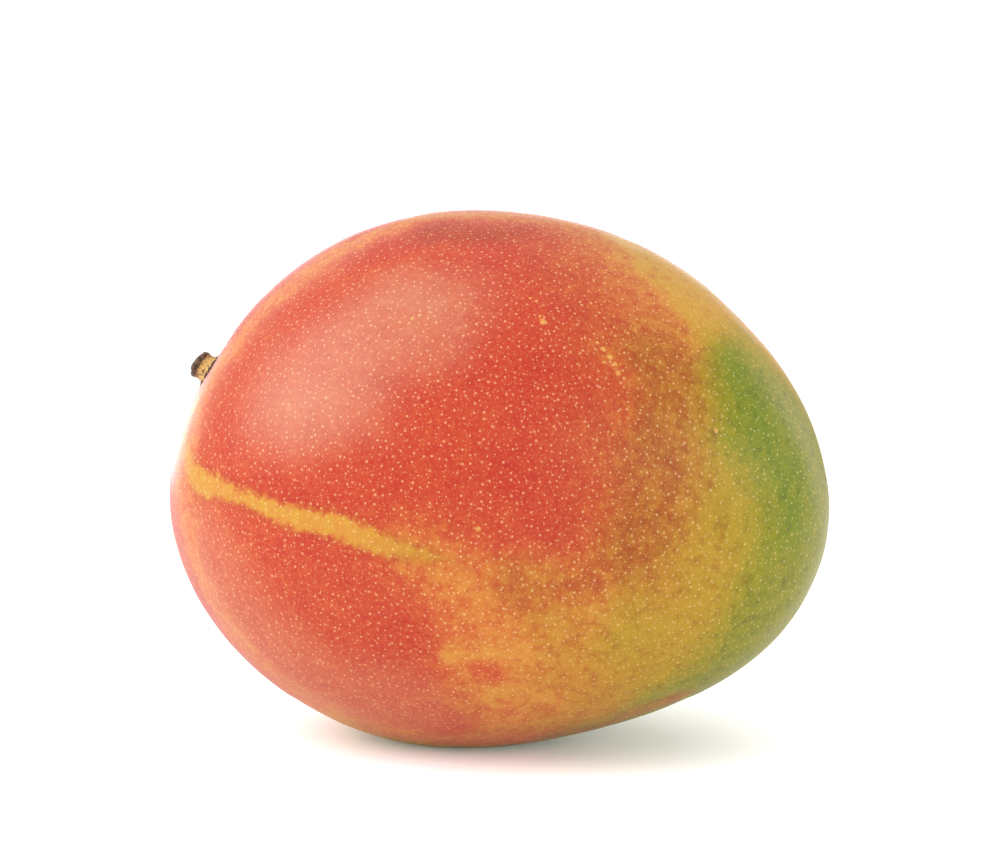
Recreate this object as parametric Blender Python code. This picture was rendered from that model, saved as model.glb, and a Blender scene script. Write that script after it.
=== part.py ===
"""A ripe mango lying on its side, with the stub of its woody stem. Metres, +Z up.

The fruit's plane of symmetry is Y = 0. The stem end points to -X and up, the tip to +X and the two broad cheeks
to -Y and +Y. The origin is the middle of the small flat spot that the fruit rests on.
"""

import math

import bmesh
import bpy
from mathutils import Matrix, Vector

# Fruit, measured from the middle of its outline
MEAN_RADIUS = 0.0516
THICKNESS = 0.0852
TIP_SLIMMING = 0.06
# Each wave of the outline: waves in one turn, height as a share of the mean radius, angle of a crest in degrees
OUTLINE_WAVES = (
    (2, 0.105, 1.0),
    (3, 0.024, -16.0),
    (4, 0.0137, -7.5),
    (5, 0.0069, -21.5),
    (6, 0.003, -5.5),
)
FRUIT_SUBDIVISIONS = 5
FINER_WITHIN = math.radians(22.0)

# Flat spot that the fruit rests on
REST_DEPTH = 0.0450
REST_OFFSET = -0.0055
REST_SNAP = 0.0002

# Shallow basin round the stem
STEM_PLACE = math.radians(160.0)
BASIN_DEPTH = 0.0022
BASIN_SPREAD = 0.0085

# Stem stub: heights are above the skin, along its own axis
STEM_LEAN = math.radians(150.0)
STEM_SIDES = 32
ROOT_RADIUS = 0.0040
ROOT_DEPTH = 0.0014
COLLAR_HEIGHT = 0.0006
WAIST_RADIUS = 0.0027
WAIST_HEIGHT = 0.0011
NECK_RADIUS = 0.0021
NECK_HEIGHT = 0.0018
END_RADIUS = 0.0024
END_HEIGHT = 0.0041
END_SLANT = math.radians(9.0)
END_HOLLOW = 0.0004
EDGE_ROUNDING = 0.0003
FIT_GAP = 0.0003

SKIN_RED = (0.50, 0.075, 0.040, 1.0)
SKIN_ROUGHNESS = 0.35
STEM_BROWN = (0.19, 0.105, 0.045, 1.0)
STEM_ROUGHNESS = 0.75
SMOOTH_UNDER = math.radians(35.0)
MERGE_DISTANCE = 0.00001


def clear_scene():
    for scene_object in list(bpy.data.objects):
        bpy.data.objects.remove(scene_object)


def principled(name, colour, roughness):
    material = bpy.data.materials.new(name)
    material.use_nodes = True
    shader = material.node_tree.nodes["Principled BSDF"]
    shader.inputs["Base Color"].default_value = colour
    shader.inputs["Roughness"].default_value = roughness
    shader.inputs["Metallic"].default_value = 0.0
    return material


def object_from(name, mesh_data, material=None):
    bmesh.ops.recalc_face_normals(mesh_data, faces=mesh_data.faces)
    mesh = bpy.data.meshes.new(name)
    mesh_data.to_mesh(mesh)
    mesh_data.free()
    mesh.shade_smooth()
    mesh.set_sharp_from_angle(angle=SMOOTH_UNDER)
    if material:
        mesh.materials.append(material)
    new_object = bpy.data.objects.new(name, mesh)
    bpy.context.collection.objects.link(new_object)
    return new_object


def outline_radius(angle, waves):
    """Distance of the skin from the middle, in the plane of symmetry, with some of the outline's waves."""
    return MEAN_RADIUS * (1.0 + sum(height * math.cos(count * (angle - math.radians(crest)))
                                    for count, height, crest in waves))


def skin_without_basin(direction):
    """The skin's point in a direction of a round ball: an oval section, with the outline's finer waves at its rim."""
    angle = math.atan2(direction.z, direction.x)
    broad = outline_radius(angle, OUTLINE_WAVES[:1])
    rim = outline_radius(angle, OUTLINE_WAVES)
    near_rim = math.hypot(direction.x, direction.z)
    radius = broad + (rim - broad) * near_rim
    x = radius * direction.x
    slimming = 1.0 - TIP_SLIMMING * x / MEAN_RADIUS
    return Vector((x, THICKNESS / 2.0 * direction.y * slimming, radius * direction.z))


STEM_FOOT = skin_without_basin(Vector((math.cos(STEM_PLACE), 0.0, math.sin(STEM_PLACE))))
STEM_AXIS = Vector((math.cos(STEM_LEAN), 0.0, math.sin(STEM_LEAN)))
STEM_BASE = STEM_FOOT - STEM_FOOT.normalized() * BASIN_DEPTH
REST_POINT = Vector((REST_OFFSET, 0.0, -REST_DEPTH))


def skin(direction):
    """The skin's point with the shallow basin round the stem sunk into it."""
    point = skin_without_basin(direction)
    distance = (point - STEM_FOOT).length
    sink = BASIN_DEPTH * math.exp(-0.5 * (distance / BASIN_SPREAD) ** 2)
    return point - STEM_FOOT.normalized() * sink


def cut_rest_spot(mesh_data):
    """Cuts the small flat that the fruit rests on, and closes it with one flat face."""
    geometry = mesh_data.verts[:] + mesh_data.edges[:] + mesh_data.faces[:]
    cut = bmesh.ops.bisect_plane(mesh_data, geom=geometry, dist=REST_SNAP, plane_co=REST_POINT,
                                 plane_no=(0.0, 0.0, -1.0), clear_outer=True)
    rim = [item for item in cut["geom_cut"] if isinstance(item, bmesh.types.BMEdge)]
    for vertex in {end for edge in rim for end in edge.verts}:
        vertex.co.z = REST_POINT.z
    bmesh.ops.contextual_create(mesh_data, geom=rim)


def stem_frame():
    """Turns +Z of the stem's own shape along its axis, and puts its base in the basin."""
    turn = STEM_AXIS.to_track_quat("Z", "Y").to_matrix().to_4x4()
    return Matrix.Translation(STEM_BASE - REST_POINT) @ turn


def stem_socket():
    """The hollow that holds the stem's root, a little wider and deeper than the root."""
    mesh_data = bmesh.new()
    depth = ROOT_DEPTH + FIT_GAP
    bmesh.ops.create_cone(mesh_data, cap_ends=True, segments=STEM_SIDES, radius1=ROOT_RADIUS + FIT_GAP,
                          radius2=ROOT_RADIUS + FIT_GAP, depth=2.0 * depth)
    socket = object_from("stem_socket_cutter", mesh_data)
    socket.matrix_world = stem_frame()
    socket.hide_render = True
    socket.display_type = "WIRE"
    return socket


def make_finer(mesh_data, towards):
    """Splits the ball's triangles that lie close to a direction."""
    edges = [edge for edge in mesh_data.edges
             if all(end.co.angle(towards) < FINER_WITHIN for end in edge.verts)]
    bmesh.ops.subdivide_edges(mesh_data, edges=edges, cuts=1, use_grid_fill=True)


def mango_fruit():
    mesh_data = bmesh.new()
    bmesh.ops.create_icosphere(mesh_data, subdivisions=FRUIT_SUBDIVISIONS, radius=1.0)
    make_finer(mesh_data, REST_POINT)
    make_finer(mesh_data, STEM_FOOT)
    for vertex in mesh_data.verts:
        vertex.co = skin(vertex.co.normalized())
    cut_rest_spot(mesh_data)
    bmesh.ops.translate(mesh_data, verts=mesh_data.verts, vec=-REST_POINT)
    fruit = object_from("mango_fruit", mesh_data, principled("mango_skin", SKIN_RED, SKIN_ROUGHNESS))
    cut = fruit.modifiers.new("stem_socket", "BOOLEAN")
    cut.operation = "DIFFERENCE"
    cut.solver = "EXACT"
    cut.object = stem_socket()


def stem_profile():
    """Half section of the stub as (radius, height), from the middle of its root to the middle of its broken end."""
    return (
        (0.0, -ROOT_DEPTH),
        (ROOT_RADIUS - EDGE_ROUNDING, -ROOT_DEPTH),
        (ROOT_RADIUS, EDGE_ROUNDING - ROOT_DEPTH),
        (ROOT_RADIUS, COLLAR_HEIGHT - EDGE_ROUNDING),
        (ROOT_RADIUS - EDGE_ROUNDING, COLLAR_HEIGHT),
        (WAIST_RADIUS, WAIST_HEIGHT),
        (NECK_RADIUS, NECK_HEIGHT),
        (END_RADIUS, END_HEIGHT - EDGE_ROUNDING),
        (END_RADIUS - EDGE_ROUNDING, END_HEIGHT),
        (0.0, END_HEIGHT - END_HOLLOW),
    )


def stem_stub():
    mesh_data = bmesh.new()
    points = [mesh_data.verts.new((radius, 0.0, height)) for radius, height in stem_profile()]
    edges = [mesh_data.edges.new(pair) for pair in zip(points, points[1:])]
    bmesh.ops.spin(mesh_data, geom=points + edges, cent=(0.0, 0.0, 0.0), axis=(0.0, 0.0, 1.0),
                   angle=2.0 * math.pi, steps=STEM_SIDES, use_merge=True)
    bmesh.ops.remove_doubles(mesh_data, verts=mesh_data.verts, dist=MERGE_DISTANCE)
    for vertex in mesh_data.verts:
        above_neck = max(0.0, vertex.co.z - NECK_HEIGHT) / (END_HEIGHT - NECK_HEIGHT)
        vertex.co.z += above_neck * vertex.co.x * math.tan(END_SLANT)
    stub = object_from("stem_stub", mesh_data, principled("stem_wood", STEM_BROWN, STEM_ROUGHNESS))
    stub.matrix_world = stem_frame()


clear_scene()
mango_fruit()
stem_stub()
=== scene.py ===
# %% [markdown]
# # A ripe mango, modelled and coloured in Blender
# The real thing is one fruit with a smooth waxy skin, and the broken stub of the woody stem that it hung
# from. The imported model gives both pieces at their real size, in metres, with +Z up. This lesson keeps their
# form and makes a fine smooth skin, a rough stub of wood, and the colours of a fruit that ripened half in the
# sun.

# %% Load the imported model
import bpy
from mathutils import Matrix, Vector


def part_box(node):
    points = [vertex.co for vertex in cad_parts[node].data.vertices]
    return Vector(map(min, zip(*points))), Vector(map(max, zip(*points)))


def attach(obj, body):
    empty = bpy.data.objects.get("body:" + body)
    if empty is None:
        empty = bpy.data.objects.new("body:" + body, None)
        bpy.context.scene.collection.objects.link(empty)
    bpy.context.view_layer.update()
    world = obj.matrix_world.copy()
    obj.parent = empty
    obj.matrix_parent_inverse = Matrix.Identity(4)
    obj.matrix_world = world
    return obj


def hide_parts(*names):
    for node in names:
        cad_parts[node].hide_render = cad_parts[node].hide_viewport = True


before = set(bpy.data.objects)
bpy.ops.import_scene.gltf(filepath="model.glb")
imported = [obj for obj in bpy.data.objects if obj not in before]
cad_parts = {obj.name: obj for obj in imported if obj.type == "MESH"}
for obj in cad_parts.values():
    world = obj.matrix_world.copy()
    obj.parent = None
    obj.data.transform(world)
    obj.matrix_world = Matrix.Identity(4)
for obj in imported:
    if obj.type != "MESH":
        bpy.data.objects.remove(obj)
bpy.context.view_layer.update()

# %% Modules and a unit
import math

import bpy
import numpy as np
from mathutils import Matrix, Vector, noise

MM = 0.001
print("one millimetre in metres:", MM)

# %% [markdown]
# ## Helpers for working as by hand
# Blender's operators act on whatever is selected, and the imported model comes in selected. So each step first
# selects its own piece and nothing else.


# %% Select, apply and name
def select_only(piece):
    """Makes this the one selected and active object."""
    bpy.ops.object.select_all(action="DESELECT")
    piece.select_set(True)
    bpy.context.view_layer.objects.active = piece


def apply_modifiers(piece):
    """Applies the piece's modifiers in their order."""
    select_only(piece)
    for modifier in list(piece.modifiers):
        bpy.ops.object.modifier_apply(modifier=modifier.name)


def named(name):
    """Names the active object and its mesh."""
    piece = bpy.context.object
    piece.name = name
    piece.data.name = name
    return piece


print("pieces to work on:", sorted(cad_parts))

# %% [markdown]
# ## Camera
# The photograph looks at one broad cheek from a little above, turned a little to the tip's side. It has
# hardly any perspective, so it was taken with a long lens from over half a metre away. The camera is made
# first, because the marks on the skin are placed by looking through it. It is aimed so that the fruit lands
# where the photograph has it, which needs no lens shift.

# %% Camera
PHOTO_WIDTH = 1000
PHOTO_HEIGHT = 867
SENSOR = 36.0
CAMERA_TURN = math.radians(12.0)
CAMERA_RISE = math.radians(9.0)
CAMERA_DISTANCE = 0.58
PIXELS_PER_METRE = 5757.0
FRUIT_PIXEL = (497.2, 476.5)

fruit_low, fruit_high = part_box("mango_fruit")
fruit_middle = (fruit_low + fruit_high) / 2.0
camera_back = Vector((math.sin(CAMERA_TURN) * math.cos(CAMERA_RISE),
                      -math.cos(CAMERA_TURN) * math.cos(CAMERA_RISE),
                      math.sin(CAMERA_RISE)))
camera_right = Vector((math.cos(CAMERA_TURN), math.sin(CAMERA_TURN), 0.0))
camera_up = camera_back.cross(camera_right)

bpy.ops.object.camera_add(location=fruit_middle + camera_back * CAMERA_DISTANCE)
camera = bpy.context.object
camera.name = "photo_camera"
camera.data.sensor_width = SENSOR
camera.data.lens = SENSOR * CAMERA_DISTANCE * PIXELS_PER_METRE / PHOTO_WIDTH
aim = (fruit_middle
       + camera_right * ((PHOTO_WIDTH / 2 - FRUIT_PIXEL[0]) / PIXELS_PER_METRE)
       + camera_up * ((FRUIT_PIXEL[1] - PHOTO_HEIGHT / 2) / PIXELS_PER_METRE))
camera.rotation_euler = (camera.location - aim).to_track_quat("Z", "Y").to_euler()
bpy.context.scene.camera = camera
bpy.context.view_layer.update()
print("lens, mm:", round(camera.data.lens, 1))

# %% [markdown]
# ## The skin's form
# A fruit's skin is one smooth closed surface whose rings close in on the stem and on the tip. It could be
# sculpted, or subdivided from a box. Here a ball with its pole at the stem is shrink-wrapped onto a smoothed
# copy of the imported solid: that keeps the true form, and the ball's rings lie ready round the stem, where the
# skin puckers.

# %% The stem's place and its socket
STEM_LEAN = math.radians(150.0)
SOCKET_RADIUS = 4.3 * MM
SOCKET_DEPTH = 1.7 * MM
# A face looks straight along the stem above the first value, and is in the socket up to the second. Nearer
# than the third counts as touching.
STRAIGHT = 0.9999
SLACK = 1.002
NEAR = 0.02 * MM

stem_low, stem_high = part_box("stem_stub")
stem_middle = (stem_low + stem_high) / 2.0
stem_axis = Vector((math.cos(STEM_LEAN), 0.0, math.sin(STEM_LEAN)))


def socket_floor(mesh):
    """The middle of the flat bottom of the stem's socket, whose faces look straight along the stem."""
    found = [face for face in mesh.polygons
             if face.normal.dot(stem_axis) > STRAIGHT
             and (face.center - stem_middle).length < 2.0 * SOCKET_RADIUS]
    area = sum(face.area for face in found)
    return sum((face.center * face.area for face in found), Vector()) / area


stem_base = socket_floor(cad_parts["mango_fruit"].data) + stem_axis * SOCKET_DEPTH
print("stem base, mm:", [round(1000 * x, 2) for x in stem_base])

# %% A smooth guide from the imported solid
MERGE_DISTANCE = 0.001 * MM
SUBDIVISIONS = 2


def is_in_socket(face):
    """Whether a face belongs to the wall or to the bottom of the stem's socket."""
    from_base = face.center - stem_base
    height = from_base.dot(stem_axis)
    off_axis = (from_base - stem_axis * height).length
    on_wall = -SOCKET_DEPTH * SLACK < height < -NEAR
    on_bottom = face.normal.dot(stem_axis) > STRAIGHT
    return off_axis < SOCKET_RADIUS * SLACK and (on_wall or on_bottom)


def fruit_guide():
    """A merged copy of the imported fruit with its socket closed, smoothed by subdivision."""
    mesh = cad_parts["mango_fruit"].data.copy()
    guide = bpy.data.objects.new("fruit_guide", mesh)
    bpy.context.scene.collection.objects.link(guide)
    select_only(guide)
    bpy.ops.object.mode_set(mode="EDIT")
    bpy.ops.mesh.select_all(action="SELECT")
    bpy.ops.mesh.remove_doubles(threshold=MERGE_DISTANCE)
    bpy.ops.mesh.select_all(action="DESELECT")
    bpy.ops.mesh.select_mode(type="FACE")
    bpy.ops.object.mode_set(mode="OBJECT")
    for face in mesh.polygons:
        face.select = is_in_socket(face)
    print("socket faces taken out:", sum(face.select for face in mesh.polygons))
    bpy.ops.object.mode_set(mode="EDIT")
    bpy.ops.mesh.delete(type="FACE")
    bpy.ops.mesh.select_all(action="DESELECT")
    bpy.ops.mesh.select_mode(type="EDGE")
    bpy.ops.mesh.select_non_manifold()
    bpy.ops.mesh.edge_face_add()
    bpy.ops.object.mode_set(mode="OBJECT")
    smooth = guide.modifiers.new("smooth", "SUBSURF")
    smooth.levels = smooth.render_levels = SUBDIVISIONS
    apply_modifiers(guide)
    return guide


guide = fruit_guide()
print("guide faces:", len(guide.data.polygons))

# %% The skin as a ball shrunk onto the guide
RINGS = 208
MERIDIANS = 320
CREASES = 9
PUCKER_DEPTH = 0.35 * MM
PUCKER_RADIUS = 5.4 * MM
PUCKER_SPREAD = 1.5 * MM
PUCKER_REACH = 16.0 * MM
CREASE_DEPTH = 0.10 * MM
SWELL_DEPTH = 0.28 * MM
SWELL_SIZE = 17.0 * MM
# The swelling starts at the first height and is full after the second
SWELL_START = 0.5 * MM
FLAT_CLEARANCE = 3.0 * MM


def shrink_onto(piece, guide):
    """Moves each point straight in along its normal until it meets the guide."""
    wrap = piece.modifiers.new("wrap", "SHRINKWRAP")
    wrap.target = guide
    wrap.wrap_method = "PROJECT"
    wrap.use_negative_direction = True
    wrap.use_positive_direction = False
    even = piece.modifiers.new("even_out", "SMOOTH")
    even.factor = 0.5
    even.iterations = 4
    apply_modifiers(piece)


def pucker(point):
    """How far a point sinks along the stem: a shallow moat round the collar, with fine creases."""
    from_base = point - stem_base
    flat = from_base - stem_axis * from_base.dot(stem_axis)
    angle = math.atan2(flat.y, flat.dot(Vector((stem_axis.z, 0.0, -stem_axis.x))))
    moat = math.exp(-0.5 * ((flat.length - PUCKER_RADIUS) / PUCKER_SPREAD) ** 2)
    uneven = 1.0 + 0.35 * math.sin(2.0 * angle + 0.7) + 0.2 * math.sin(3.0 * angle + 2.1)
    crease = (0.5 + 0.5 * math.cos(CREASES * angle + 1.3 * math.sin(2.0 * angle))) ** 3
    return moat * (PUCKER_DEPTH * uneven + CREASE_DEPTH * crease)


def swell(point):
    """The soft rise and fall that keeps a real fruit from being a perfect form. It only goes inwards."""
    dent = max(0.0, noise.fractal(point / SWELL_SIZE, 1.0, 2.0, 3))
    near_flat = min(1.0, max(0.0, (point.z - SWELL_START) / FLAT_CLEARANCE))
    return SWELL_DEPTH * dent * near_flat


def mango_skin(guide):
    """The fruit's fine skin."""
    reach = (fruit_high - fruit_low).length / 2.0
    pole = (stem_base - fruit_middle).normalized()
    bpy.ops.object.select_all(action="DESELECT")
    bpy.ops.mesh.primitive_uv_sphere_add(segments=MERIDIANS, ring_count=RINGS, radius=reach,
                                         location=fruit_middle,
                                         rotation=pole.to_track_quat("Z", "Y").to_euler())
    piece = named("mango_skin")
    bpy.ops.object.transform_apply(location=True, rotation=True, scale=True)
    shrink_onto(piece, guide)
    outward = [vertex.normal.copy() for vertex in piece.data.vertices]
    for vertex, normal in zip(piece.data.vertices, outward):
        near_stem = (vertex.co - stem_base).length < PUCKER_REACH
        sunk = stem_axis * pucker(vertex.co) if near_stem else Vector()
        vertex.co -= sunk + normal * swell(vertex.co)
        vertex.co.z = max(0.0, vertex.co.z)
    select_only(piece)
    bpy.ops.object.shade_smooth()
    return piece


fruit = mango_skin(guide)
bpy.data.objects.remove(guide)
flat_points = [vertex.co for vertex in fruit.data.vertices if vertex.co.z < NEAR]
print("skin faces:", len(fruit.data.polygons))
print("flat spot, mm:", [round(1000 * (max(p[i] for p in flat_points) - min(p[i] for p in flat_points)), 1)
                         for i in (0, 1)])

# %% [markdown]
# ## Places on the skin
# A mark is placed by the pixel where the photograph shows it. A ray from the camera through that pixel meets
# the skin, and the mark is put there, in metres, so it stays on the fruit from every side.


# %% From a pixel to the skin
def on_skin(pixel):
    """The point of the skin that the photograph shows at a pixel."""
    across = (pixel[0] - PHOTO_WIDTH / 2) / PHOTO_WIDTH * SENSOR / camera.data.lens
    down = (pixel[1] - PHOTO_HEIGHT / 2) / PHOTO_WIDTH * SENSOR / camera.data.lens
    direction = camera.matrix_world.to_3x3() @ Vector((across, -down, -1.0))
    hit, place, _, _ = fruit.ray_cast(camera.matrix_world.translation, direction.normalized())
    if not hit:
        raise ValueError(f"pixel {pixel} misses the fruit")
    return place


print("skin in the middle of the photograph, mm:", [round(1000 * x, 1) for x in on_skin((500, 480))])

# %% [markdown]
# ## The skin's pigments
# A mango's skin is yellow where nothing else colours it. Green chlorophyll lies over that and goes as the
# fruit ripens. Red pigment grows only where the sun reached, so a leaf or a twig that lay on the fruit leaves
# a pale unblushed streak. Each pigment's amount is brushed onto the skin's points stroke over stroke, like
# airbrush work. It could be a painted picture, but amounts on points need no seams and stay sharp from every
# side.

# %% How a brush stroke covers the skin
STROKE_STEP = 12.0
# Sizes of the wandering's waves and how far each moves an edge
WANDERINGS = ((10.0 * MM, 2.2 * MM), (3.5 * MM, 0.9 * MM), (1.8 * MM, 0.4 * MM))
# Fixes the wandering, which would otherwise be drawn anew on each run
WANDERING_SEED = 2


def smooth_step(low, high, values):
    """Nothing below the low value, all above the high one, and a soft change between them."""
    share = np.clip((values - low) / (high - low), 0.0, 1.0)
    return share * share * (3.0 - 2.0 * share)


def wandering(point):
    """The point moved a little, so that a stroke's edge wanders as it does on a grown fruit."""
    return point + sum((noise.noise_vector(point / size) * move for size, move in WANDERINGS), Vector())


def along(path):
    """Places on the skin at short steps along a path of the photograph's pixels."""
    places = [on_skin(path[0])]
    for start, end in zip(path, path[1:]):
        steps = max(1, round(math.dist(start, end) / STROKE_STEP))
        for step in range(1, steps + 1):
            share = step / steps
            places.append(on_skin([a + (b - a) * share for a, b in zip(start, end)]))
    return np.array(places)


def distance_to(places, points, widths=None):
    """Each point's distance to a line through the places, or to the edge of a band with these widths."""
    halves = np.zeros(len(places)) if widths is None else np.array(widths) / 2.0
    nearest = np.full(len(points), np.inf)
    for start, end, half, next_half in zip(places, places[1:], halves, halves[1:]):
        step = end - start
        share = np.clip((points - start) @ step / (step @ step), 0.0, 1.0)
        off_line = np.linalg.norm(points - start - share[:, None] * step, axis=1)
        nearest = np.minimum(nearest, off_line - half - (next_half - half) * share)
    return nearest


def brushed(path, radius, soft):
    """How fully a stroke covers each point: all of it within the radius, then less over the soft edge."""
    away = distance_to(along(path), moved_points)
    return 1.0 - smooth_step(radius * MM, (radius + soft) * MM, away)


noise.seed_set(WANDERING_SEED)
skin_points = np.array([vertex.co for vertex in fruit.data.vertices])
moved_points = np.array([wandering(vertex.co) for vertex in fruit.data.vertices])
print("points to paint:", len(skin_points))


# %% Where the sun reached
SUN = Vector((-0.75, -0.15, 0.65)).normalized()
SUN_LOW, SUN_HIGH = -0.45, 0.40
GREEN_LOW, GREEN_HIGH = 0.10, 0.85
GREEN_MOST = 0.85

direction = (moved_points - np.array(fruit_middle)) / np.array((fruit_high - fruit_low) / 2.0)
facing_sun = direction @ np.array(SUN)
blush = smooth_step(SUN_LOW, SUN_HIGH, facing_sun)
chlorophyll = GREEN_MOST * smooth_step(GREEN_LOW, GREEN_HIGH, -facing_sun)
print("share of the skin that faces the sun:", round(float((facing_sun > 0.0).mean()), 2))

# %% Brush strokes for red and green
# Each stroke: its path in pixels, the brush's radius and soft edge in mm, and the amounts of blush and of
# chlorophyll that it lays down
STROKES = {
    "ochre shoulder": (((690, 285), (730, 335), (770, 388)), 2.0, 18.0, 0.05, 0.14),
    "shoulder limb": (((630, 250), (660, 268), (702, 296), (745, 338), (785, 390), (808, 440)),
                      5.0, 9.0, 0.07, 0.16),
    "pale limb": (((755, 362), (785, 410), (808, 460)), 3.0, 8.0, 0.03, 0.55),
    "green tip": (((800, 440), (810, 500), (800, 570), (765, 620), (725, 655)), 5.0, 13.0, 0.06, 0.95),
    "yellow-green cheek": (((705, 420), (710, 480), (700, 560), (665, 640), (600, 690)),
                           3.0, 12.0, 0.13, 0.39),
    "olive halo": (((722, 378), (735, 405), (750, 450), (760, 500)), 1.0, 12.0, 0.07, 0.62),
    "green band": (((742, 382), (756, 418), (775, 455), (792, 510)), 0.2, 11.5, 0.02, 1.25),
    "orange shoulder": (((545, 222), (590, 252), (625, 295), (642, 345)), 1.0, 11.0, 0.40, 0.08),
    "brown band": (((646, 372), (652, 430), (650, 500), (628, 550)), 2.0, 13.0, 0.50, 0.36),
    "turning cheek": (((530, 240), (568, 290), (585, 390), (578, 480), (550, 540)), 1.5, 12.0, 0.72, 0.08),
    "sunny cheek": (((270, 330), (330, 280), (410, 250), (465, 265), (495, 335), (510, 410), (505, 480)),
                    2.0, 17.0, 1.05, 0.0),
    "stem side of cheek": (((214, 440), (226, 395), (255, 345), (305, 300), (370, 268), (430, 255)),
                           1.5, 7.0, 0.86, 0.0),
    "peach limb": (((188, 440), (203, 398), (222, 362), (243, 334), (272, 300), (304, 273), (350, 244),
                    (410, 222)), 1.0, 6.0, 0.42, 0.0),
    "red specks": (((372, 373), (393, 386)), 0.3, 2.0, 1.3, 0.0),
    "red speck above": (((406, 343), (418, 350)), 0.3, 2.2, 1.15, 0.0),
    "cheek by the streak": (((240, 455), (330, 480), (430, 515), (510, 528)), 2.0, 6.0, 0.95, 0.0),
    # A paler band along the top edge, which paints the top edge's highlight on as colour
    "pale top, painted highlight": (((430, 216), (495, 214), (580, 226)), 1.0, 5.0, 0.38, 0.06),
    "orange under the streak": (((425, 565), (480, 590), (560, 605)), 2.0, 11.0, 0.40, 0.08),
    "ochre below": (((545, 635), (560, 690), (575, 715)), 2.0, 12.0, 0.26, 0.22),
    "lower middle": (((470, 625), (490, 675), (500, 718)), 1.5, 13.0, 0.34, 0.04),
    "lower cheek": (((220, 540), (280, 590), (345, 612), (380, 640), (385, 690)), 4.5, 13.0, 0.87, 0.0),
    "lower cheek by the stem": (((200, 520), (240, 600), (305, 670), (380, 715), (430, 726)),
                                4.0, 7.0, 0.76, 0.0),
    "pale stem side": (((188, 420), (180, 500), (193, 560), (222, 617), (250, 654), (300, 695)),
                       1.5, 6.0, 0.45, 0.0),
    "brown patch on top": (((430, 232), (465, 230), (500, 233)), 0.3, 6.5, 1.0, 0.17),
    "yellow blotch": (((455, 652), (485, 658), (522, 650)), 0.5, 3.5, 0.20, 0.05),
    "yellow blotch below": (((492, 700), (525, 692), (560, 700)), 0.5, 3.5, 0.20, 0.08),
    "red blotch": (((478, 672), (492, 680)), 0.2, 3.4, 0.60, 0.0),
    "brown blotch": (((510, 582), (545, 585), (595, 578)), 0.5, 6.5, 0.50, 0.22),
    "yellow flecks": (((600, 345), (612, 358), (618, 372)), 0.2, 2.6, 0.55, 0.10),
    "underside": (((380, 730), (430, 740), (480, 742), (540, 737)), 2.0, 6.0, 0.44, 0.04),
    "brown underside": (((560, 735), (600, 727), (640, 713), (672, 700)), 1.0, 4.0, 0.36, 0.40),
}

for path, radius, soft, red, green in STROKES.values():
    cover = brushed(path, radius, soft)
    blush += (red - blush) * cover
    chlorophyll += (green - chlorophyll) * cover
print("strokes:", len(STROKES), "mean blush:", round(float(blush.mean()), 2))

# %% Bloom of wax and painted sheen
# Where rain and hands have not rubbed it off, the wax is a thin pale film. The same pale film also paints the
# lights' broad sheen and pale reflections on as colour: on and round the sunny cheek's sheen, along the top
# edge, along the left edge and on the lower cheek. Each: its path in pixels, the radius and soft edge in mm,
# and the amount
BLOOM_AND_SHEEN = (
    (((290, 392), (320, 380), (370, 338), (422, 316)), 3.0, 13.5, 0.19),
    (((300, 415), (340, 425), (375, 412)), 1.0, 7.0, 0.06),
    (((395, 290), (440, 300)), 1.0, 8.0, 0.06),
    (((420, 217), (495, 213), (560, 221)), 0.3, 3.5, 0.09),
    (((200, 550), (250, 625), (330, 695), (400, 700)), 4.0, 10.0, 0.09),
    (((186, 450), (205, 400), (240, 338), (300, 280), (350, 250)), 1.0, 7.0, 0.07),
)

bloom_and_sheen = np.zeros(len(skin_points))
for path, radius, soft, amount in BLOOM_AND_SHEEN:
    bloom_and_sheen += amount * brushed(path, radius, soft)
print("points with bloom:", int((bloom_and_sheen > 0.05).sum()))

# %% The unblushed streak
# Its middle line in pixels with its width there in mm. A width below nothing lets it fade out.
STREAK = (((187, 452), 2.0), ((191, 468), 3.6), ((200, 482), 5.0), ((217, 487), 3.9), ((238, 495), 2.7),
          ((256, 503), 2.8), ((275, 511), 3.4), ((295, 518), 4.2), ((315, 521), 3.9), ((335, 526), 4.3),
          ((352, 532), 4.4), ((372, 541), 4.0), ((392, 548), 3.2), ((412, 552), 2.0), ((432, 556), 0.8),
          ((452, 560), -1.2))
FARTHEST = 4.0 * MM
STREAK_GREEN = 0.12
STREAK_HALO = 1.5 * MM

streak_places = np.array([on_skin(pixel) for pixel, _ in STREAK])
streak_widths = [width * MM for _, width in STREAK]
streak_distance = np.minimum(FARTHEST, distance_to(streak_places, skin_points, streak_widths))
chlorophyll += STREAK_GREEN * (1.0 - smooth_step(0.0, STREAK_HALO, streak_distance))
print("skin points in the streak:", int((streak_distance < 0.0).sum()))


# %% Keep the amounts on the skin
def keep_on_points(piece, name, values):
    """Stores one number on each point of a piece."""
    layer = piece.data.attributes.new(name, "FLOAT", "POINT")
    layer.data.foreach_set("value", values.astype(np.float32))


# The pale film's amount holds both the wax bloom and the painted sheen
keep_on_points(fruit, "blush", blush)
keep_on_points(fruit, "chlorophyll", chlorophyll)
keep_on_points(fruit, "bloom_and_sheen", bloom_and_sheen)
keep_on_points(fruit, "streak_distance", streak_distance / MM)
print("amounts kept:", [layer.name for layer in fruit.data.attributes if layer.domain == "POINT"])

# %% [markdown]
# ## Materials
# A material here is a small tree of shader nodes. Colours are written as screen colours in hex and made
# linear. Patterns are read from Object coordinates, in metres, so a pattern's scale is one over its real
# size.


# %% Colours and nodes
def linear(hex_colour):
    """A screen colour such as #FFAA00 as the linear colour that the shader needs."""
    parts = [int(hex_colour[at:at + 2], 16) / 255.0 for at in (1, 3, 5)]
    return [part / 12.92 if part <= 0.04045 else ((part + 0.055) / 1.055) ** 2.4 for part in parts] + [1.0]


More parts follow.
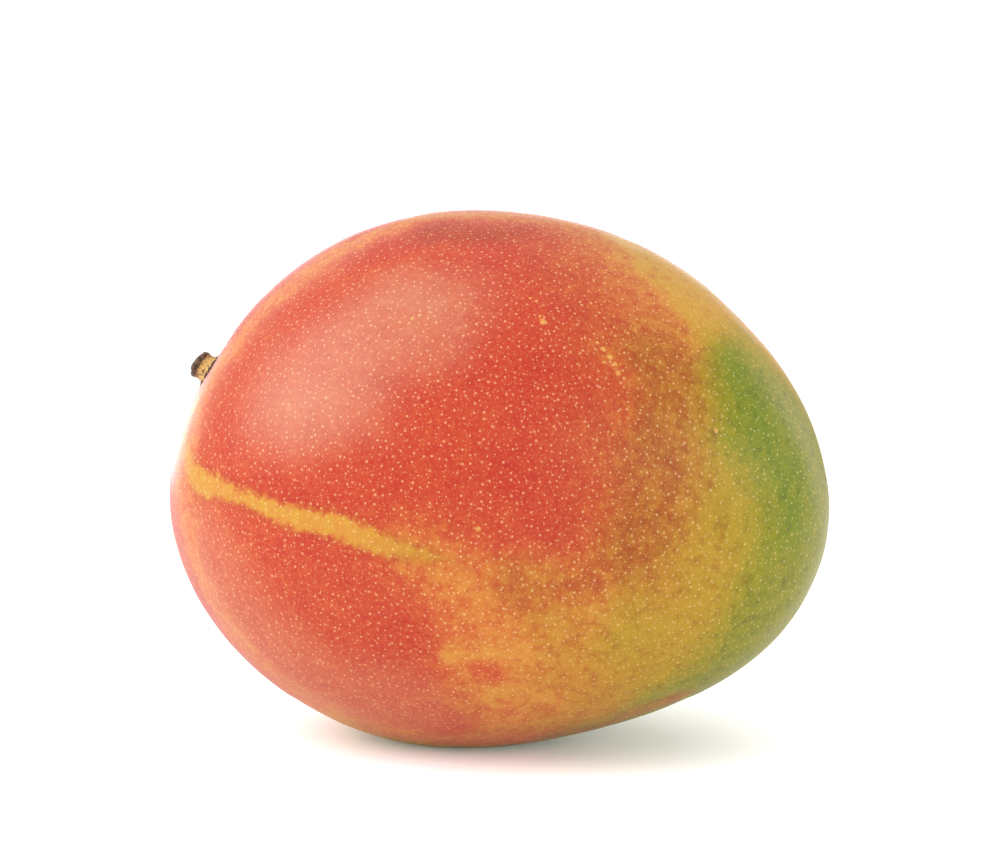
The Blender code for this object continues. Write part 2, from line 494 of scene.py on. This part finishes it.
def add(tree, kind, inputs, output=0, **settings):
    """Adds a node with its settings, links or sets its inputs, and gives back the output asked for."""
    node = tree.nodes.new("ShaderNode" + kind)
    for name, value in settings.items():
        setattr(node, name, value)
    for key, value in inputs.items():
        if isinstance(value, bpy.types.NodeSocket):
            tree.links.new(value, node.inputs[key])
        else:
            node.inputs[key].default_value = value
    return node.outputs[output]


def new_material(name):
    """An empty material's node tree and its Principled shader."""
    material = bpy.data.materials.new(name)
    material.use_nodes = True
    return material, material.node_tree, material.node_tree.nodes["Principled BSDF"]


# Sockets of the Mix node when it mixes colours
MIX_A, MIX_B, MIX_RESULT = 6, 7, 2
print("mid grey, linear:", round(linear("#808080")[0], 3))

# %% [markdown]
# ### Mango skin
# The real skin is a thin living layer: yellow below, two pigments over it, and a coat of natural wax. Light
# passes the pigments twice, so each takes its share of the light by its amount. The Gamma node works that
# out: a filter's colour raised to the pigment's amount. The red is patchy, cloudy and speckled, and pale
# corky pores, the lenticels, dot it all over. Rubs heal as small corky scars. A pale film is mixed in where the
# wax keeps its bloom, and the same film paints the lights' sheen and pale reflections on as colour. The wax
# gives a soft wide sheen, and pores and cells give a faint orange-peel relief, which is too fine to model.

# %% Skin colours
GROUND = "#B58332"
RED_FILTER = "#DC6596"
GREEN_FILTER = "#98D834"
PORE_CREAM = "#D8BE98"
# The pale film's colour, for the wax bloom and for the painted sheen and reflections
BLOOM_AND_SHEEN_CREAM = "#BEA280"
SCAR_YELLOW = "#BF954A"
print("ground, linear:", [round(part, 3) for part in linear(GROUND)])

# %% Sizes of the skin's patterns
# Nearly all of a noise's values lie between these
NOISE_RANGE = {"From Min": 0.3, "From Max": 0.7}
MOTTLE_SIZE = 2.1 * MM
GRAIN_SIZE = 0.8 * MM
CLOUD_SIZE = 6.0 * MM
# How unevenly the red lies: soft edge and share of the patches, and the swing of the speckle and the clouds
PATCH_EDGE = 0.45
PATCH_SHARE = 0.42
SPECKLE = 0.18
CLOUDINESS = 0.1
GREEN_SWING = 0.3
# The streak's edge and the noise that frays it, in mm, and the most red within it
STREAK_EDGE = 0.9
STREAK_FRAY = 2.8
STREAK_BLUSH = 0.24
FRAY_SIZE = 1.6 * MM
print("mottle, grain and clouds, mm:",
      [round(size / MM, 1) for size in (MOTTLE_SIZE, GRAIN_SIZE, CLOUD_SIZE)])

# %% Pores as dots
# Each set of pores: the space that one has, its radius and how strongly it shows
PORES = ((1.6 * MM, 0.36 * MM, 1.0), (1.0 * MM, 0.23 * MM, 0.5))
PORE_CORE = 0.05 * MM
SMALLEST_PORE = 0.45
PORE_WAVE = 0.5 * MM
PORE_SHIFT = 0.15 * MM
# How much of each pigment a pore lacks, and how much of its own colour it shows
RED_LACK = 0.6
GREEN_LACK = 0.3
PORE_PALENESS = 0.24


def dots(tree, place, normal, cell, radius, strength):
    """Round dots on the skin, one for each loose point near it. The distance is measured along the skin."""
    lattice = {"Vector": place, "Scale": 1.0 / cell}
    middle = add(tree, "TexVoronoi", lattice, output="Position")
    chance = add(tree, "SeparateColor", {0: add(tree, "TexVoronoi", lattice, output="Color")})
    off = add(tree, "VectorMath", {0: place, 1: middle}, operation="SUBTRACT")
    rise = add(tree, "VectorMath", {0: off, 1: normal}, output="Value", operation="DOT_PRODUCT")
    upright = add(tree, "VectorMath", {0: normal, "Scale": rise}, operation="SCALE")
    aside = add(tree, "VectorMath", {0: off, 1: upright}, operation="SUBTRACT")
    away = add(tree, "VectorMath", {0: aside}, output="Value", operation="LENGTH")
    size = add(tree, "MapRange", {"Value": chance, "To Min": SMALLEST_PORE * radius, "To Max": radius})
    dot = add(tree, "MapRange", {"Value": away, "From Min": size, "From Max": PORE_CORE},
              interpolation_type="SMOOTHERSTEP")
    return add(tree, "Math", {0: dot, 1: strength}, operation="MULTIPLY")


def pores(tree, place):
    """All the sets of pores together, each dot a little out of round."""
    normal = add(tree, "TexCoord", {}, output="Normal")
    ragged = add(tree, "TexNoise", {"Vector": place, "Scale": 1.0 / PORE_WAVE, "Detail": 1.0}, output="Color")
    moved = add(tree, "VectorMath", {0: ragged, 1: (PORE_SHIFT,) * 3, 2: place}, operation="MULTIPLY_ADD")
    large, small = (dots(tree, moved, normal, *pore) for pore in PORES)
    return add(tree, "Math", {0: large, 1: small}, operation="MAXIMUM")


print("sets of pores:", len(PORES))

# %% Small scars
# A rub or an insect's bite heals as a pale corky spot. Each: its pixel in the photograph and its radius
SCARS = (((543, 322), 0.75 * MM), ((540, 316), 0.35 * MM), ((597, 343), 0.35 * MM), ((603, 349), 0.5 * MM),
         ((610, 357), 0.55 * MM), ((615, 364), 0.5 * MM), ((618, 373), 0.55 * MM), ((604, 362), 0.3 * MM),
         ((478, 529), 0.55 * MM), ((716, 430), 0.5 * MM), ((530, 298), 0.3 * MM), ((537, 301), 0.3 * MM),
         ((543, 305), 0.3 * MM), ((412, 318), 0.3 * MM), ((420, 315), 0.3 * MM), ((429, 312), 0.3 * MM))
SCAR_STRENGTH = 0.6
SCAR_WAVE = 0.7 * MM
SCAR_SHIFT = 0.7 * MM


def scars(tree, place):
    """All the scars together, with ragged edges."""
    ragged = add(tree, "TexNoise", {"Vector": place, "Scale": 1.0 / SCAR_WAVE, "Detail": 2.0}, output="Color")
    moved = add(tree, "VectorMath", {0: ragged, 1: (SCAR_SHIFT,) * 3, 2: place}, operation="MULTIPLY_ADD")
    centred = add(tree, "VectorMath", {0: moved, 1: (SCAR_SHIFT / 2.0,) * 3}, operation="SUBTRACT")
    together = 0.0
    for pixel, radius in SCARS:
        away = add(tree, "VectorMath", {0: centred, 1: on_skin(pixel)}, output="Value", operation="DISTANCE")
        scar = add(tree, "MapRange", {"Value": away, "From Min": radius, "From Max": 0.5 * radius})
        together = add(tree, "Math", {0: scar, 1: together}, operation="MAXIMUM")
    return together


print("scars:", len(SCARS))

# %% How much red and green each place has
def red_amount(tree, place, mottle, grain):
    """The brushed blush made patchy, speckled and cloudy, and nearly none of it in the frayed streak."""
    blush = add(tree, "Attribute", {}, output="Fac", attribute_name="blush")
    patch = add(tree, "MapRange", {**NOISE_RANGE, "Value": mottle})
    patch_low = add(tree, "Math", {0: patch, 1: PATCH_EDGE}, operation="SUBTRACT")
    patch_high = add(tree, "Math", {0: patch, 1: PATCH_EDGE}, operation="ADD")
    patchy = add(tree, "MapRange", {"Value": blush, "From Min": patch_low, "From Max": patch_high},
                 interpolation_type="SMOOTHSTEP")
    uneven = add(tree, "Mix", {0: PATCH_SHARE, 2: blush, 3: patchy})

    streak = add(tree, "Attribute", {}, output="Fac", attribute_name="streak_distance")
    fray = add(tree, "TexNoise", {"Vector": place, "Scale": 1.0 / FRAY_SIZE, "Detail": 3.0})
    frayed = add(tree, "Math", {0: fray, 1: STREAK_FRAY, 2: streak}, operation="MULTIPLY_ADD")
    outside = add(tree, "MapRange", {"Value": frayed, "From Min": 0.5 * STREAK_FRAY - STREAK_EDGE,
                                     "From Max": 0.5 * STREAK_FRAY + STREAK_EDGE},
                  interpolation_type="SMOOTHSTEP")
    flecks = add(tree, "MapRange", {**NOISE_RANGE, "Value": mottle, "To Max": STREAK_BLUSH})
    streaked = add(tree, "Mix", {0: outside, 2: flecks, 3: uneven})

    speckle = add(tree, "MapRange", {**NOISE_RANGE, "Value": grain, "To Min": 1.0 - SPECKLE,
                                     "To Max": 1.0 + SPECKLE})
    clouds = add(tree, "TexNoise", {"Vector": place, "Scale": 1.0 / CLOUD_SIZE, "Detail": 3.0})
    cloudy = add(tree, "MapRange", {**NOISE_RANGE, "Value": clouds, "To Min": 1.0 - CLOUDINESS,
                                    "To Max": 1.0 + CLOUDINESS})
    speckled = add(tree, "Math", {0: streaked, 1: speckle}, operation="MULTIPLY")
    return add(tree, "Math", {0: speckled, 1: cloudy}, operation="MULTIPLY")


def green_amount(tree, mottle):
    """The brushed chlorophyll, densest where the patches of red are."""
    chlorophyll = add(tree, "Attribute", {}, output="Fac", attribute_name="chlorophyll")
    swing = add(tree, "MapRange", {**NOISE_RANGE, "Value": mottle, "To Min": 1.0 + GREEN_SWING,
                                   "To Max": 1.0 - GREEN_SWING})
    return add(tree, "Math", {0: chlorophyll, 1: swing}, operation="MULTIPLY")


print("share of the red that lies in patches:", PATCH_SHARE)

# %% Pigments as filters
def pigmented(tree, red, green):
    """The yellow ground seen through the red and the green pigment."""
    red_light = add(tree, "Gamma", {"Color": linear(RED_FILTER), "Gamma": red})
    green_light = add(tree, "Gamma", {"Color": linear(GREEN_FILTER), "Gamma": green})
    both = add(tree, "Mix", {0: 1.0, MIX_A: red_light, MIX_B: green_light}, output=MIX_RESULT,
               data_type="RGBA", blend_type="MULTIPLY")
    return add(tree, "Mix", {0: 1.0, MIX_A: both, MIX_B: linear(GROUND)}, output=MIX_RESULT,
               data_type="RGBA", blend_type="MULTIPLY")


print("a full layer of red lets through:", [round(part, 3) for part in linear(RED_FILTER)[:3]])

# %% Skin material
# How thin and thick the pale film of bloom and painted sheen gets with the mottle
BLOOM_AND_SHEEN_LOW, BLOOM_AND_SHEEN_HIGH = 0.75, 1.2
SMOOTH_WAX, ROUGH_WAX = 0.39, 0.46
PORE_RELIEF = 0.5
PEEL_STRENGTH = 0.25
PEEL_DEPTH = 0.08 * MM


def mango_skin_material():
    """Yellow ground, red and green pigment layers, pale pores, scars, wax bloom with painted sheen, and wax."""
    material, tree, shader = new_material("waxy_mango_skin")
    place = add(tree, "TexCoord", {}, output="Object")
    mottle = add(tree, "TexNoise", {"Vector": place, "Scale": 1.0 / MOTTLE_SIZE, "Detail": 6.0,
                                    "Roughness": 0.72})
    grain = add(tree, "TexNoise", {"Vector": place, "Scale": 1.0 / GRAIN_SIZE, "Detail": 2.0})
    pore = pores(tree, place)

    red_left = add(tree, "Math", {0: pore, 1: -RED_LACK, 2: 1.0}, operation="MULTIPLY_ADD")
    red = add(tree, "Math", {0: red_left, 1: red_amount(tree, place, mottle, grain)}, operation="MULTIPLY")
    green_left = add(tree, "Math", {0: pore, 1: -GREEN_LACK, 2: 1.0}, operation="MULTIPLY_ADD")
    green = add(tree, "Math", {0: green_left, 1: green_amount(tree, mottle)}, operation="MULTIPLY")
    skin = pigmented(tree, red, green)
    pale = add(tree, "Math", {0: pore, 1: PORE_PALENESS}, operation="MULTIPLY")
    dotted = add(tree, "Mix", {0: pale, MIX_A: skin, MIX_B: linear(PORE_CREAM)}, output=MIX_RESULT,
                 data_type="RGBA")
    scar = add(tree, "Math", {0: scars(tree, place), 1: SCAR_STRENGTH}, operation="MULTIPLY")
    scarred = add(tree, "Mix", {0: scar, MIX_A: dotted, MIX_B: linear(SCAR_YELLOW)}, output=MIX_RESULT,
                  data_type="RGBA")
    # A pale film mixed into the colour: the wax bloom, and also painted sheen and reflections
    bloom_and_sheen = add(tree, "Attribute", {}, output="Fac", attribute_name="bloom_and_sheen")
    bloom_and_sheen_swing = add(tree, "MapRange", {**NOISE_RANGE, "Value": mottle, "To Min": BLOOM_AND_SHEEN_LOW,
                                  "To Max": BLOOM_AND_SHEEN_HIGH})
    bloom_and_sheen_share = add(tree, "Math", {0: bloom_and_sheen, 1: bloom_and_sheen_swing}, operation="MULTIPLY")
    coloured = add(tree, "Mix", {0: bloom_and_sheen_share, MIX_A: scarred, MIX_B: linear(BLOOM_AND_SHEEN_CREAM)}, output=MIX_RESULT,
                   data_type="RGBA")
    tree.links.new(coloured, shader.inputs["Base Color"])

    relief = add(tree, "Math", {0: pore, 1: PORE_RELIEF, 2: grain}, operation="MULTIPLY_ADD")
    bump = add(tree, "Bump", {"Height": relief, "Strength": PEEL_STRENGTH, "Distance": PEEL_DEPTH})
    tree.links.new(bump, shader.inputs["Normal"])
    dull = add(tree, "MapRange", {**NOISE_RANGE, "Value": mottle, "To Min": SMOOTH_WAX, "To Max": ROUGH_WAX})
    tree.links.new(dull, shader.inputs["Roughness"])
    shader.inputs["IOR"].default_value = 1.42
    shader.inputs["Specular IOR Level"].default_value = 0.24
    shader.inputs["Coat Weight"].default_value = 0.04
    shader.inputs["Coat Roughness"].default_value = 0.3
    return material


fruit.data.materials.append(mango_skin_material())
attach(fruit, "root")
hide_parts("mango_fruit")
print("skin material:", fruit.data.materials[0].name)

# %% [markdown]
# ## The stem stub
# The fruit hung from a woody stalk that broke off a few millimetres from the skin. A flared foot of bark hugs
# the skin, the neck is ribbed lengthwise, and the broken end swells into a ragged rim round hollow pith. It
# could be spun, but it is drawn up ring by ring from a circle, so that each ring can be shaped on the way.

# %% Stem sizes
STEM_SIDES = 48
# Each ring: radius and height in mm
STEM_RINGS = ((4.0, -1.35), (4.0, -0.5), (3.95, 0.6), (3.9, 0.95), (3.4, 1.05), (2.95, 1.3), (2.6, 1.7),
              (2.4, 2.15), (2.4, 2.55), (2.5, 2.8), (2.6, 3.1), (2.6, 3.75), (2.35, 4.0), (1.6, 3.85),
              (1.0, 3.2), (0.5, 3.05))
END_SLANT = math.radians(9.0)
NECK_HEIGHT = 1.8 * MM
END_HEIGHT = 4.1 * MM
# How far the ribs and the worn foot draw in, as shares of the radius, and how far the ragged rim drops
RIB_DEPTH = 0.12
FOOT_WEAR = 0.1
RIM_DROP = 0.9 * MM
# The ring in the noise that the rim is read from, placed so that the rim stands highest on its upper side
RIM_RING = 2.2
RIM_PLACE = 9.3
# Heights where the foot gives way to the ribs and where the rim starts to be ragged, and how softly
FOOT_TOP = 1.0 * MM
RIM_START = 2.8 * MM
SOFT_CHANGE = 1.0 * MM
print("rings in the stub:", len(STEM_RINGS))


# %% Draw the stub up from a circle
def draw_up(rings):
    """A circle pulled up ring by ring, then closed on top."""
    first_radius, first_height = rings[0]
    bpy.ops.object.select_all(action="DESELECT")
    bpy.ops.mesh.primitive_circle_add(vertices=STEM_SIDES, radius=first_radius * MM, fill_type="NGON",
                                      location=(0.0, 0.0, first_height * MM))
    piece = named("stem_wood")
    bpy.ops.object.transform_apply(location=True, rotation=True, scale=True)
    bpy.ops.object.mode_set(mode="EDIT")
    bpy.ops.mesh.select_all(action="SELECT")
    for (radius, height), (next_radius, next_height) in zip(rings, rings[1:]):
        bpy.ops.mesh.extrude_region_move(
            TRANSFORM_OT_translate={"value": (0.0, 0.0, (next_height - height) * MM)})
        share = next_radius / radius
        bpy.ops.transform.resize(value=(share, share, 1.0), center_override=(0.0, 0.0, next_height * MM))
    bpy.ops.mesh.select_all(action="SELECT")
    bpy.ops.mesh.normals_make_consistent(inside=False)
    bpy.ops.object.mode_set(mode="OBJECT")
    return piece


def weather(point):
    """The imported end's slant, and ribs, a worn foot and a ragged rim, which all only go inwards."""
    angle = math.atan2(point.y, point.x)
    radius = math.hypot(point.x, point.y)
    above = min(1.0, max(0.0, (point.z - FOOT_TOP) / SOFT_CHANGE))
    rib = 0.5 + 0.3 * math.cos(7.0 * angle + 0.8) + 0.2 * math.cos(13.0 * angle + 2.0)
    foot = 0.5 + 0.3 * math.cos(4.0 * angle + 0.5) + 0.2 * math.cos(9.0 * angle + 1.5)
    shrink = 1.0 - above * RIB_DEPTH * rib - (1.0 - above) * FOOT_WEAR * foot
    ragged = noise.noise(Vector((RIM_RING * math.cos(angle), RIM_RING * math.sin(angle), RIM_PLACE)))
    near_rim = min(1.0, max(0.0, (point.z - RIM_START) / SOFT_CHANGE))
    slant = max(0.0, point.z - NECK_HEIGHT) / (END_HEIGHT - NECK_HEIGHT) * point.x * math.tan(END_SLANT)
    lower = near_rim * (0.35 + 0.5 * ragged) * RIM_DROP
    return Vector((point.x * shrink, point.y * shrink, point.z + slant - max(0.0, lower)))


stem = draw_up(STEM_RINGS)
for vertex in stem.data.vertices:
    vertex.co = weather(vertex.co)
round_off = stem.modifiers.new("round_off", "SUBSURF")
round_off.levels = round_off.render_levels = SUBDIVISIONS
apply_modifiers(stem)
stem.matrix_world = Matrix.Translation(stem_base) @ stem_axis.to_track_quat("Z", "Y").to_matrix().to_4x4()
bpy.ops.object.transform_apply(location=True, rotation=True, scale=True)
bpy.ops.object.shade_smooth()
print("stem faces:", len(stem.data.polygons))

# %% [markdown]
# ### Stem wood
# Dry stalk wood with its bark: tan fibres with brown cracks along them, and dark weathered bark in patches at
# the foot and all over the broken rim. It is dull, with no wax. The pattern is stretched along the stalk,
# because wood is long fibres.

# %% Stem material
TAN_WOOD = "#AF8948"
CRACK_BROWN = "#56361D"
LIGHT_BARK = "#5E4330"
DARK_BARK = "#2E1F11"
FIBRE_SIZE = 0.45 * MM
FIBRE_STRETCH = 0.3
LUMP_SIZE = 0.7 * MM
CRACK_RANGE = {"From Min": 0.38, "From Max": 0.52}
LUMP_RANGE = {"From Min": 0.42, "From Max": 0.58}
# How far the lumps move the bark's edges, and the moved heights between which bark and bare wood change over
FOOT_WANDER = 2.4 * MM
FOOT_RANGE = {"From Min": 2.2 * MM, "From Max": 1.9 * MM}
RIM_WANDER = 1.2 * MM
RIM_RANGE = {"From Min": 3.2 * MM, "From Max": 3.5 * MM}
WOOD_RELIEF = 0.2 * MM
RELIEF_STRENGTH = 0.7


def stem_wood_material():
    """Tan fibres with brown cracks, and lumpy dark bark in patches on the foot and on the broken rim."""
    material, tree, shader = new_material("dry_stem_wood")
    place = add(tree, "TexCoord", {}, output="Object")
    own = add(tree, "Mapping", {"Vector": place, "Location": stem_base,
                                "Rotation": stem_axis.to_track_quat("Z", "Y").to_euler()},
              vector_type="TEXTURE")
    stretched = add(tree, "VectorMath", {0: own, 1: (1.0, 1.0, FIBRE_STRETCH)}, operation="MULTIPLY")
    fibres = add(tree, "TexNoise", {"Vector": stretched, "Scale": 1.0 / FIBRE_SIZE, "Detail": 4.0,
                                    "Roughness": 0.6})
    lumps = add(tree, "TexNoise", {"Vector": own, "Scale": 1.0 / LUMP_SIZE, "Detail": 3.0})
    height = add(tree, "SeparateXYZ", {0: own}, output="Z")
    cracked = add(tree, "MapRange", {**CRACK_RANGE, "Value": fibres}, interpolation_type="SMOOTHSTEP")
    wood = add(tree, "Mix", {0: cracked, MIX_A: linear(CRACK_BROWN), MIX_B: linear(TAN_WOOD)},
               output=MIX_RESULT, data_type="RGBA")
    lumpy = add(tree, "MapRange", {**LUMP_RANGE, "Value": lumps}, interpolation_type="SMOOTHSTEP")
    bark = add(tree, "Mix", {0: lumpy, MIX_A: linear(DARK_BARK), MIX_B: linear(LIGHT_BARK)},
               output=MIX_RESULT, data_type="RGBA")
    foot_edge = add(tree, "Math", {0: lumps, 1: FOOT_WANDER, 2: height}, operation="MULTIPLY_ADD")
    foot = add(tree, "MapRange", {**FOOT_RANGE, "Value": foot_edge}, interpolation_type="SMOOTHSTEP")
    rim_edge = add(tree, "Math", {0: lumps, 1: RIM_WANDER, 2: height}, operation="MULTIPLY_ADD")
    rim = add(tree, "MapRange", {**RIM_RANGE, "Value": rim_edge}, interpolation_type="SMOOTHSTEP")
    ends = add(tree, "Math", {0: foot, 1: rim}, operation="MAXIMUM")
    coloured = add(tree, "Mix", {0: ends, MIX_A: wood, MIX_B: bark}, output=MIX_RESULT, data_type="RGBA")
    tree.links.new(coloured, shader.inputs["Base Color"])
    rough = add(tree, "Math", {0: lumps, 1: fibres}, operation="ADD")
    bump = add(tree, "Bump", {"Height": rough, "Strength": RELIEF_STRENGTH, "Distance": WOOD_RELIEF})
    tree.links.new(bump, shader.inputs["Normal"])
    shader.inputs["Roughness"].default_value = 0.75
    return material


stem.data.materials.append(stem_wood_material())
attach(stem, "root")
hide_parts("stem_stub")
print("stem material:", stem.data.materials[0].name)

# %% [markdown]
# ## Studio
# The photograph is a plain catalogue picture: a white table, one large soft light high on the left, weaker
# ones above and low on the right, and white cards round the set that draw the pale edges on the fruit. Such
# tables are often milky plastic lit from below, which washes the shadow out to a thin line under the fruit,
# so this one glows a little. The world is white for the camera, and lights the fruit most from above, from
# the left and a little from the front.

# %% Table
FLOOR_RADIUS = 0.42
FLOOR_WHITE = "#F8F8F8"
FLOOR_GLOW = 0.1

bpy.ops.object.select_all(action="DESELECT")
bpy.ops.mesh.primitive_circle_add(vertices=128, radius=FLOOR_RADIUS, fill_type="NGON",
                                  location=(0.0, 0.0, 0.0))
floor = named("table_top")
floor_material, _, floor_shader = new_material("table_white")
floor_shader.inputs["Base Color"].default_value = linear(FLOOR_WHITE)
floor_shader.inputs["Roughness"].default_value = 0.8
floor_shader.inputs["Emission Color"].default_value = linear(FLOOR_WHITE)
floor_shader.inputs["Emission Strength"].default_value = FLOOR_GLOW
floor.data.materials.append(floor_material)
print("table radius, m:", FLOOR_RADIUS)

# %% World
WORLD_DIM = 0.59
WORLD_BRIGHT = 1.41
WORLD_SEEN = 1.05
WORLD_SIDE = (-0.4, 0.2, 0.7)
WORLD_RANGE = {"From Min": -0.6, "From Max": 0.8}


def seen_direction(rightwards, forwards, upwards):
    """A direction given as the camera sees it: rightwards, towards the camera and upwards."""
    return (camera_right * rightwards + camera_back * forwards + Vector((0.0, 0.0, upwards))).normalized()


world = bpy.data.worlds.new("studio_world")
bpy.context.scene.world = world
world.use_nodes = True
tree = world.node_tree
tree.nodes.clear()
seen = add(tree, "LightPath", {}, output="Is Camera Ray")
looking = add(tree, "TexCoord", {}, output="Generated")
toward = add(tree, "VectorMath", {0: looking, 1: seen_direction(*WORLD_SIDE)}, output="Value",
             operation="DOT_PRODUCT")
light = add(tree, "MapRange", {**WORLD_RANGE, "Value": toward, "To Min": WORLD_DIM, "To Max": WORLD_BRIGHT},
            interpolation_type="SMOOTHSTEP")
strength = add(tree, "MapRange", {"Value": seen, "To Min": light, "To Max": WORLD_SEEN})
white = add(tree, "Background", {"Color": linear("#FFFFFF"), "Strength": strength})
world_output = tree.nodes.new("ShaderNodeOutputWorld")
tree.links.new(white, world_output.inputs["Surface"])
print("world light:", WORLD_DIM, "to", WORLD_BRIGHT)

# %% Soft lights
# Each: its name, its direction as the camera sees it (rightwards, towards the camera, upwards), then its
# distance, width and height in metres, and its watts
LIGHTS = (
    ("key_box", -0.93, 0.26, 0.60, 1.0, 0.8, 0.8, 9.3),
    ("top_box", 0.30, -0.10, 0.93, 1.1, 1.0, 1.0, 1.4),
    ("low_box", 0.62, 0.75, 0.16, 1.1, 1.2, 0.5, 3.7),
    ("left_card", -0.50, -0.87, 0.0, 0.9, 0.3, 0.35, 3.4),
    ("right_card", 0.95, 0.20, 0.14, 1.2, 0.5, 0.4, 2.8),
    ("tip_card", 0.80, -0.60, 0.25, 1.2, 0.4, 0.6, 2.0),
    ("back_card", 0.0, -0.95, 0.25, 1.1, 0.7, 0.25, 1.6),
)


def soft_light(name, rightwards, forwards, upwards, distance, width, height, watts):
    """A soft box aimed at the fruit, placed by its direction as the camera sees it."""
    toward = seen_direction(rightwards, forwards, upwards)
    bpy.ops.object.select_all(action="DESELECT")
    bpy.ops.object.light_add(type="AREA", location=fruit_middle + toward * distance,
                             rotation=toward.to_track_quat("Z", "Y").to_euler())
    light = bpy.context.object
    light.name = name
    light.data.shape = "RECTANGLE"
    light.data.size = width
    light.data.size_y = height
    light.data.energy = watts


for settings in LIGHTS:
    soft_light(*settings)

# %% Colour management
bpy.context.scene.view_settings.view_transform = "Standard"
bpy.context.scene.view_settings.look = "None"
print("view transform:", bpy.context.scene.view_settings.view_transform)
